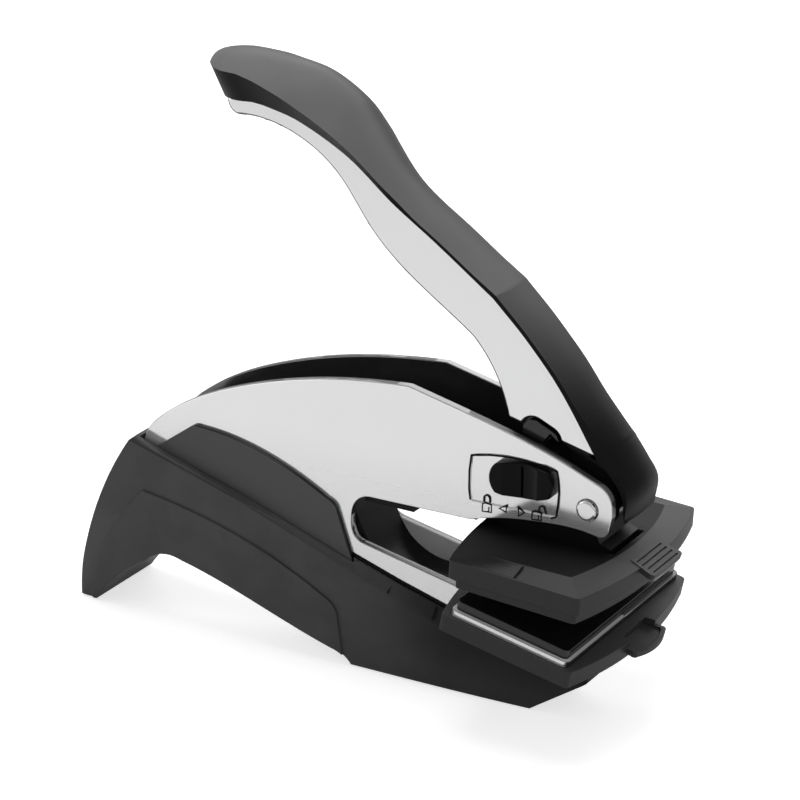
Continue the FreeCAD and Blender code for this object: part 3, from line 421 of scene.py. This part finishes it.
def rubberFinish(look):
    finish = Finish("padRubber", {"Specular IOR Level": look["gloss"]})
    grain = finish.noise(look["grain"], 4)
    finish.feed(colour=finish.mixed(grain, grey(look["dark"]), grey(look["light"])),
                roughness=look["roughness"] + grain * look["uneven"],
                normal=finish.bump(grain, look["depth"]))
    return finish.material


markAndShadeLook = {
    "dark": 0.003, "light": 0.012, "wear": 0.5, "wearBand": (0.4, 0.7), "depth": 0.01,
    "roughness": 0.5, "uneven": 0.2, "gloss": 0.1,
}


def markAndShadeFinish(look):
    # dark bottom of the marks, and painted shade in the seams and the ticks
    finish = Finish("markInkAndShade", {"Specular IOR Level": look["gloss"]})
    wear = finish.noise(look["wear"], 3)
    finish.feed(colour=finish.mixed(wear.between(*look["wearBand"]), grey(look["dark"]), grey(look["light"])),
                roughness=look["roughness"] + wear * look["uneven"],
                normal=finish.bump(wear, look["depth"]))
    return finish.material


def makeFinishes():
    finishes = {
        "marksAndShade": markAndShadeFinish(markAndShadeLook),
        "charcoal": charcoalFinish(charcoalLook),
        "cover": coverFinish(coverLook),
        "bright_plate": plateFinish(plateLook),
        "satin_black": satinFinish(satinLook),
        "soft_grip": gripFinish(gripLook),
        "pad": rubberFinish(rubberLook),
    }
    for slot, look in glossLooks.items():
        finishes[slot] = glossFinish(look, glossSurface)
    for slot, look in steelLooks.items():
        finishes[slot] = steelFinish(look, steelSurface)
    return finishes


# floor and world

floorSetup = {
    "radius": 3.0, "sides": 96,  # radius in metres
    "colour": 0.80, "paler": 1.02, "fibre": 1.5,
    "lift": 0.66,  # added where the camera sees the floor, up to white far out
    "whiteFrom": (0.15, 0.8),  # square of the distance, in square metres
    "nearLift": 0.17,  # added in reflections, before the object and behind it
    "farLift": 0.25,
    "farFrom": (-0.05, 0.25), "farSkew": 0.5,  # metres, and how much of x counts
}


def addFloor(setup):
    finish = Finish("floorPaper", {"Roughness": 0.9, "Specular IOR Level": 0.0, "Emission Strength": 1.0})
    fibre = finish.noise(setup["fibre"], 3)
    x, y = [finish.part(axis, finish.place) for axis in "XY"]
    mirrored = finish.ray("Is Glossy Ray").either(finish.ray("Is Transmission Ray"))
    behind = x * setup["farSkew"] + y
    lift = behind.between(*setup["farFrom"], setup["nearLift"], setup["farLift"]) * mirrored
    seen = (x * x + y * y).between(*setup["whiteFrom"], setup["lift"], 1.0)
    lift = lift + (seen - lift) * finish.ray("Is Camera Ray")
    finish.feed(colour=finish.mixed(fibre, grey(setup["colour"]), grey(setup["colour"] * setup["paler"])),
                glow=finish.mixed(lift, grey(0), grey(1)))
    shape = bmesh.new()
    bmesh.ops.create_circle(shape, cap_ends=True, segments=setup["sides"], radius=setup["radius"])
    mesh = bpy.data.meshes.new("floor")
    shape.to_mesh(mesh)
    shape.free()
    floor = bpy.data.objects.new("floor", mesh)
    floor.data.materials.append(finish.material)
    bpy.context.scene.collection.objects.link(floor)


worldSetup = {
    "shown": 1.0,  # where the camera sees it
    "band": 0.48, "dome": 0.20,  # near the horizon and overhead
    "bandTop": 0.50, "domeStart": 0.80,  # as the sine of their height
    "backGain": 0.10,  # how much brighter the far side is
}


def addWorld(setup):
    world = bpy.data.worlds.new("studio")
    world.use_nodes = True
    bpy.context.scene.world = world
    board = Board(world.node_tree)
    way = board.node("ShaderNodeTexCoord", {}, {}, "Generated")
    rise = board.part("Z", way)
    level = rise.between(setup["bandTop"], setup["domeStart"], setup["band"], setup["dome"])
    level = level * (1 + board.part("Y", way) * setup["backGain"])
    strength = level + (setup["shown"] - level) * board.ray("Is Camera Ray")
    background = board.tree.nodes["Background"]
    background.inputs["Color"].default_value = (1, 1, 1, 1)
    board.tree.links.new(strength.socket, background.inputs["Strength"])


# pieces in the frame

def bodyOf(node):
    return frame["nodes"][node]["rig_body"]


def addPiece(name, shape, material, body):
    mesh = bpy.data.meshes.new(name)
    shape.to_mesh(mesh)
    shape.free()
    mesh.materials.append(material)
    piece = bpy.data.objects.new(name, mesh)
    bpy.context.scene.collection.objects.link(piece)
    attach(piece, body)
    return piece


# CAD solids with rounded edges

# radius of each solid's edges; 0 keeps the mesh and leaves the edges to the material
edgeRadii = {
    "base_shell": 0, "side_cover_right": 0.25, "side_cover_left": 0.25,
    "frame_plate_right": 0.22, "frame_plate_left": 0.22, "lever_channel": 0.5,
    "upper_leaf": 0, "lower_tray": 0, "counter_die": 0.15, "die_backplate": 0.12, "die_plate": 0.12,
    "striker": 0.12, "pivot_rivet": 0.45, "lock_button": 0.25,
}
edgeSegments = {"pivot_rivet": 4, "others": 2}
# degrees past which a fold shows
sharpAngles = {"base_shell": 28, "upper_leaf": 6, "lower_tray": 6, "others": 45}
edgeSetup = {"merge": 0.002, "level": 0.4, "bevelFrom": 26}  # millimetres, degrees and degrees


def finished(node, material, setup):
    # a merged copy of the solid, its hard edges rounded, stands for it
    shape = bmesh.new()
    shape.from_mesh(frame["nodes"][node].data)
    bmesh.ops.remove_doubles(shape, verts=shape.verts, dist=setup["merge"] * mm)
    bmesh.ops.dissolve_limit(shape, angle_limit=math.radians(setup["level"]),
                             verts=shape.verts, edges=shape.edges)
    piece = addPiece(node + "Finished", shape, material, bodyOf(node))
    piece.data.shade_smooth()
    piece.data.set_sharp_from_angle(angle=math.radians(sharpAngles.get(node, sharpAngles["others"])))
    if edgeRadii[node]:
        bevel = piece.modifiers.new("roundedEdges", "BEVEL")
        bevel.width = edgeRadii[node] * mm
        bevel.segments = edgeSegments.get(node, edgeSegments["others"])
        bevel.limit_method = "ANGLE"
        bevel.angle_limit = math.radians(setup["bevelFrom"])
        bevel.use_clamp_overlap = False
        bevel.miter_outer = "MITER_ARC"
    weighted = piece.modifiers.new("flatFaces", "WEIGHTED_NORMAL")
    weighted.keep_sharp = True
    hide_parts(node)


# the grip: a crowned strip swept along the handle, in millimetres from the pivot

gripSetup = {
    "end": (-98.35, 78.3), "rake": 0.34, "endRadius": 11.0,  # rear end, raked and round in plan
    "tipHeight": 8.2, "tipTurns": (4, 12, 22, 34, 46, 58, 70, 80),  # degrees round the end
    "tipClear": 2,  # the path's points start at least so far past the round end
    "rearPath": [(-91.1, 79.0), (-83.8, 78.55), (-74.9, 76.35), (-62.6, 70.3), (-51.2, 61.4),
                 (-39.6, 53.7), (-25.4, 43.7)],
    "frontPath": [(-25.4, 43.7), (-16.9, 35.5), (-8.4, 25.5), (0.8, 11.1)],
    "chinPath": [(0.8, 11.1), (4.5, 7.6), (7.5, 3.4), (8.0, -2.2)],
    # share of the path, half width above, half width below, height of the crease, height of the crown
    "rear": [(0.00, 10.1, 7.2, 7.0, 3.25), (0.08, 10.6, 7.2, 5.27, 4.77), (0.16, 10.8, 7.2, 4.18, 6.29),
             (0.23, 10.8, 7.2, 3.82, 6.20), (0.30, 10.6, 7.2, 3.41, 5.45), (0.36, 9.8, 7.1, 2.68, 4.02),
             (0.42, 8.7, 7.0, 1.88, 3.04), (0.49, 7.7, 6.9, 1.23, 2.40), (0.57, 6.9, 6.9, 0.86, 1.90),
             (0.66, 6.9, 6.9, 0.50, 1.48), (0.73, 6.9, 6.9, 0.50, 1.14), (0.80, 6.9, 6.9, 0.53, 0.86),
             (0.90, 6.9, 6.9, 0.55, 0.65), (1.00, 6.9, 6.9, 0.80, 0.50)],
    "front": [(0.0, 6.9, 6.9, 0.80, 0.50), (0.33, 6.9, 6.9, 0.7, 0.9), (0.50, 6.9, 6.9, 0.8, 1.1),
              (0.70, 6.9, 6.9, 1.0, 1.5), (0.85, 6.9, 6.9, 1.9, 1.8), (1.0, 6.9, 6.9, 3.0, 2.0)],
    "chin": [(0.0, 6.9, 6.9, 3.0, 2.0), (0.35, 6.9, 6.9, 2.0, 1.6), (0.62, 7.7, 7.4, 1.2, 1.7),
             (0.90, 7.7, 7.4, 0.2, 0.6), (1.0, 7.2, 6.9, 0.1, 0.5)],
    "below": -0.25, "fullness": 1.85,  # height of the foot, and how full the crown is
    "steps": 20, "rearRings": 70, "frontRings": 26, "chinRings": 14,
    "rakedRings": 8,  # over which the rake fades
    "reach": 0.004,  # share of the path to either side that gives its direction
}


def blended(rows, at):
    # smooth curve through rows, whose first number is where they lie
    last = len(rows) - 1
    i = next((k for k in range(last) if at <= rows[k + 1][0]), last - 1)

    def slope(k):
        a, b = rows[max(k - 1, 0)], rows[min(k + 1, last)]
        return [(q - p) / (b[0] - a[0]) for p, q in zip(a[1:], b[1:])]

    a, b = rows[i], rows[i + 1]
    run = b[0] - a[0]
    t = (at - a[0]) / run
    ease = t * t * (3 - 2 * t)
    return [p + (q - p) * ease + run * ((t ** 3 - 2 * t * t + t) * m + (t ** 3 - t * t) * n)
            for p, q, m, n in zip(a[1:], b[1:], slope(i), slope(i + 1))]


def measured(path):
    # each place with its distance along the path before it
    rows, gone = [], 0.0
    for i, place in enumerate(path):
        if i:
            gone += math.dist(path[i - 1], place)
        rows.append((gone, *place))
    return rows


def squareTo(first, second):
    # unit vector square to the way from first to second, on its upper side
    way = (Vector(second) - Vector(first)).normalized()
    return Vector((-way.y, way.x))


def mitred(before, after):
    # the same at the corner between two paths, long enough to keep the height
    first, second = squareTo(*before[-2:]), squareTo(*after[:2])
    up = (first + second).normalized()
    return up / up.dot(first)


def gripRing(at, up, half, foot, height, crown, setup, shrink=1.0):
    # points of one section, from the near foot over the top to the far foot
    half, foot = half * shrink, foot * shrink
    places = [(-foot, setup["below"])]
    for i in range(setup["steps"] + 1):
        y = 2 * i / setup["steps"] - 1
        places.append((y * half, height + crown * (1 - abs(y) ** setup["fullness"])))
    places.append((foot, setup["below"]))
    return [Vector((at[0] + up[0] * h, y, at[1] + up[1] * h)) for y, h in places]


def tipRings(setup, start, raked):
    # sections round the rear end, up to the start of the path
    radius = setup["endRadius"]
    half, foot, height, crown = setup["rear"][0][1:]
    rings = []
    for degrees in setup["tipTurns"]:
        turn = math.radians(degrees)
        out = 1 - math.cos(turn)
        lift = setup["tipHeight"] + (height - setup["tipHeight"]) * out
        shrink = min(1, radius * math.sin(turn) / half)
        rings.append(gripRing(Vector(setup["end"]).lerp(start, out), raked,
                              half, foot, lift, crown * math.sin(turn), setup, shrink))
    return rings


def sweep(path, stations, setup, count, firstUp=None, lastUp=None):
    # sections along a path; firstUp fades over the first of them and lastUp holds for the last
    rows = measured(path)

    def at(share):
        return Vector(blended(rows, min(max(share, 0), 1) * rows[-1][0]))

    rings = []
    for i in range(count + 1):
        share = i / count
        up = squareTo(at(share - setup["reach"]), at(share + setup["reach"]))
        if firstUp and i < setup["rakedRings"]:
            up = firstUp.lerp(up, i / setup["rakedRings"]).normalized()
        if lastUp and i == count:
            up = lastUp
        rings.append(gripRing(at(share), up, *blended(stations, share), setup))
    return rings


def gripSections(setup):
    # sections above the crease at the front of the grip, and those below it
    raked = Vector((-setup["rake"], 1)).normalized()
    end, radius = Vector(setup["end"]), setup["endRadius"]
    start = Vector((end.x + radius, blended(measured([setup["end"]] + setup["rearPath"]), radius)[1]))
    clear = start.x + setup["tipClear"]
    rearPath = [tuple(start)] + [point for point in setup["rearPath"] if point[0] > clear]
    kink = mitred(setup["rearPath"], setup["frontPath"])
    bend = mitred(setup["frontPath"], setup["chinPath"])
    tip = tipRings(setup, start, raked)
    rear = sweep(rearPath, setup["rear"], setup, setup["rearRings"], raked, kink)
    front = sweep(setup["frontPath"], setup["front"], setup, setup["frontRings"], None, bend)
    chin = sweep(setup["chinPath"], setup["chin"], setup, setup["chinRings"])
    return tip + rear, front[1:] + chin[1:]


def addGrip(setup, material):
    upper, lower = gripSections(setup)
    low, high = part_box("pivot_rivet")
    pivot = (low + high) / 2
    pivot.y = 0
    shape = bmesh.new()
    loops = [[shape.verts.new(pivot + point * mm) for point in ring] for ring in upper + lower]
    count = len(loops[0])
    edges = [[shape.edges.new((loop[i - 1], loop[i])) for i in range(count)] for loop in loops]
    for one, two in zip(edges, edges[1:]):
        bmesh.ops.bridge_loops(shape, edges=one + two)
    for end in (0, -1):
        shape.faces.new(loops[end])
    bmesh.ops.recalc_face_normals(shape, faces=shape.faces)
    for face in shape.faces:
        face.smooth = True
    for one, two in zip(loops, loops[1:]):
        for i in (0, 1, -2, -1):  # along the feet and the creases
            shape.edges.get((one[i], two[i])).smooth = False
    for edge in edges[len(upper) - 1]:
        edge.smooth = False
    piece = addPiece("gripCover", shape, material, bodyOf("grip"))
    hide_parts("grip")


# every solid gets its finish

otherFinish = {"side_cover_right": "cover", "side_cover_left": "cover", "lock_button": "button",
               "throat_spacer": "throat", "press_arm": "throat", "bed_block": "throat"}


def dressNodes(finishes):
    slots = {part["node"]: part["material_slot"] for part in frame["record"]["subparts"]}
    for name, node in frame["nodes"].items():
        slot = slots[name]
        material = finishes[otherFinish.get(name, slot)]
        if name == "grip":
            addGrip(gripSetup, material)
        elif name in edgeRadii:
            finished(name, material, edgeSetup)
        else:
            for place in node.material_slots:
                place.material = material


# marks pressed into the right-hand plate, as centre lines in the plane of the plate

markSetup = {
    "width": 0.30, "windowWidth": 0.42, "proud": 0.03, "deep": 0.35, "windowDeep": 0.1,
    # corner of the body, middle of the shackle, and how far its second leg stands from there
    "closed": (6.15, 46.5, 7.25, 49.9, 0.75), "open": (18.7, 47.35, 21.15, 50.35, 1.0),
    "lockBody": [(0, 0.1), (0.05, 1.9), (0.7, 2.25), (2.3, 2.1), (2.35, 0.3), (0, 0.1)],
    "keyhole": [(1.25, 0.3), (1.65, 0.4), (1.7, 1.5)],
    "shackleRadius": 0.75, "shackleSteps": 8, "legs": (1.0, 0.9),  # both legs' lengths
    "arrows": [[(12.3, 49.35), (10.5, 48.25), (12.2, 47.65), (12.3, 49.35)],
               [(15.2, 49.5), (16.85, 48.65), (15.4, 47.5), (15.2, 49.5)]],
    "window": [(3.05, 48.7), (2.7, 51.2), (2.75, 55.8), (3.25, 59.5), (8.0, 60.5), (11.8, 60.95),
               (15.5, 61.1), (20.5, 60.8), (24.85, 60.15), (25.15, 58.0), (25.35, 55.5), (25.1, 52.2),
               (24.75, 49.3), (23.4, 48.7)],
}


def padlock(setup, x, z, middleX, middleZ, spread):
    # body, keyhole and shackle; the open one has its shackle beside the body
    body, keyhole = [[(x + right, z + up) for right, up in setup[name]] for name in ("lockBody", "keyhole")]
    radius, steps = setup["shackleRadius"], setup["shackleSteps"]
    turns = [math.pi * (1 - i / steps) for i in range(steps + 1)]
    bow = [(middleX + radius * math.cos(turn), middleZ + radius * math.sin(turn)) for turn in turns]
    first, second = setup["legs"]
    shackle = [(middleX - radius, middleZ - first)] + bow + [(middleX + spread, middleZ - second)]
    return [body, keyhole, shackle]


def besideLine(line, width, mitreLimit=0.5):
    # a point to either side of each point of a centre line; the limit keeps sharp corners short
    points = [Vector(place) * mm for place in line]
    ways = [(there - here).normalized() for here, there in zip(points, points[1:])]
    closed = line[0] == line[-1]
    befores = [ways[-1] if closed else ways[0]] + ways
    afters = ways + [ways[0] if closed else ways[-1]]
    pairs = []
    for point, before, after in zip(points, befores, afters):
        way = (before + after).normalized()
        side = Vector((-way.y, way.x)) * (width * mm / 2) / max(mitreLimit, way.dot(before))
        pairs.append((point + side, point - side))
    return pairs


def darkStrokes(shape, strokes, width, near, far):
    # bars of one width along the centre lines, from y = near to y = far
    for line in strokes:
        rows = [[shape.verts.new((place.x, near * mm, place.y)) for place in pair]
                for pair in besideLine(line, width)]
        flat = [shape.faces.new((a, b, d, c)) for (a, b), (c, d) in zip(rows, rows[1:])]
        raised = bmesh.ops.extrude_face_region(shape, geom=flat)["geom"]
        moved = [item for item in raised if isinstance(item, bmesh.types.BMVert)]
        bmesh.ops.translate(shape, verts=moved, vec=(0, (far - near) * mm, 0))
    bmesh.ops.recalc_face_normals(shape, faces=shape.faces)


def addPlateMarks(setup, material):
    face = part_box("frame_plate_right")[0][1] / mm  # outer face of the plate
    near = face - setup["proud"]
    shape = bmesh.new()
    strokes = padlock(setup, *setup["closed"]) + padlock(setup, *setup["open"]) + setup["arrows"]
    darkStrokes(shape, strokes, setup["width"], near, face + setup["deep"])
    darkStrokes(shape, [setup["window"]], setup["windowWidth"], near, face + setup["windowDeep"])
    addPiece("plateMarks", shape, material, bodyOf("frame_plate_right"))


# painted shade: a dark strip in the gap between the plates' feet and the rim of the base

seamSetup = {
    "line": [(-30.0, 28.91), (-27.1, 27.95), (-14.7, 24.1), (-2.6, 20.8)],
    "width": 1.2, "proud": 0.03, "deep": 0.35,
}


def addSeamShade(setup, material):
    shape = bmesh.new()
    for side, node, corner in ((1, "frame_plate_right", 0), (-1, "frame_plate_left", 1)):
        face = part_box(node)[corner][1] / mm
        near, far = face - side * setup["proud"], face + side * setup["deep"]
        darkStrokes(shape, [setup["line"]], setup["width"], near, far)
    addPiece("footSeamShade", shape, material, bodyOf("frame_plate_right"))


# short ticks that mark the dies' middle on the leaf and the throat on the rim; each is a dark bar of painted
# shade for a small groove

tickSetup = {
    "rimX": (-16.85, -5.0), "rimZ": (23.6, 20.6), "rimY": (10.4, 12.2),
    "rimFall": (2.3, 3.5), "rimWidth": 2.6,  # the rim falls so far over its width
    "leafX": 24.5, "leafZ": (41.95, 43.05), "leafY": (27.9, 24.0),
    "width": 0.5, "proud": 0.03, "deep": 0.1,
}


def tickBar(shape, x, start, end, setup):
    # thin bar between two (y, z) places
    start, end = Vector((x, *start)), Vector((x, *end))
    thick = Vector((0, 0, setup["proud"] + setup["deep"]))
    middle = (start + end + thick) / 2 - Vector((0, 0, setup["deep"]))
    axes = Matrix((Vector((setup["width"], 0, 0)), end - start, thick)).transposed().to_4x4()
    bmesh.ops.create_cube(shape, size=1, matrix=Matrix.Scale(mm, 4) @ Matrix.Translation(middle) @ axes)
    bmesh.ops.recalc_face_normals(shape, faces=shape.faces)


def addTicks(setup, material):
    rim, leaf = bmesh.new(), bmesh.new()
    inner, outer = setup["rimY"]
    for side in (-1, 1):
        for x, z, fall in zip(setup["rimX"], setup["rimZ"], setup["rimFall"]):
            lower = z - fall * (outer - inner) / setup["rimWidth"]
            tickBar(rim, x, (side * inner, z), (side * outer, lower), setup)
        start, end = [(side * y, z) for y, z in zip(setup["leafY"], setup["leafZ"])]
        tickBar(leaf, setup["leafX"], start, end, setup)
    addPiece("rimTickShade", rim, material, bodyOf("base_shell"))
    addPiece("leafTickShade", leaf, material, bodyOf("upper_leaf"))


def main():
    scene = bpy.context.scene
    scene.view_settings.view_transform = "Standard"
    addCamera(cameraSetup)
    addLights(lightSetup)
    addFloor(floorSetup)
    addWorld(worldSetup)
    print("stage ready")
    finishes = makeFinishes()
    dressNodes(finishes)
    print("solids dressed")
    addPlateMarks(markSetup, finishes["marksAndShade"])
    addSeamShade(seamSetup, finishes["marksAndShade"])
    addTicks(tickSetup, finishes["marksAndShade"])
    print("marks added")


main()
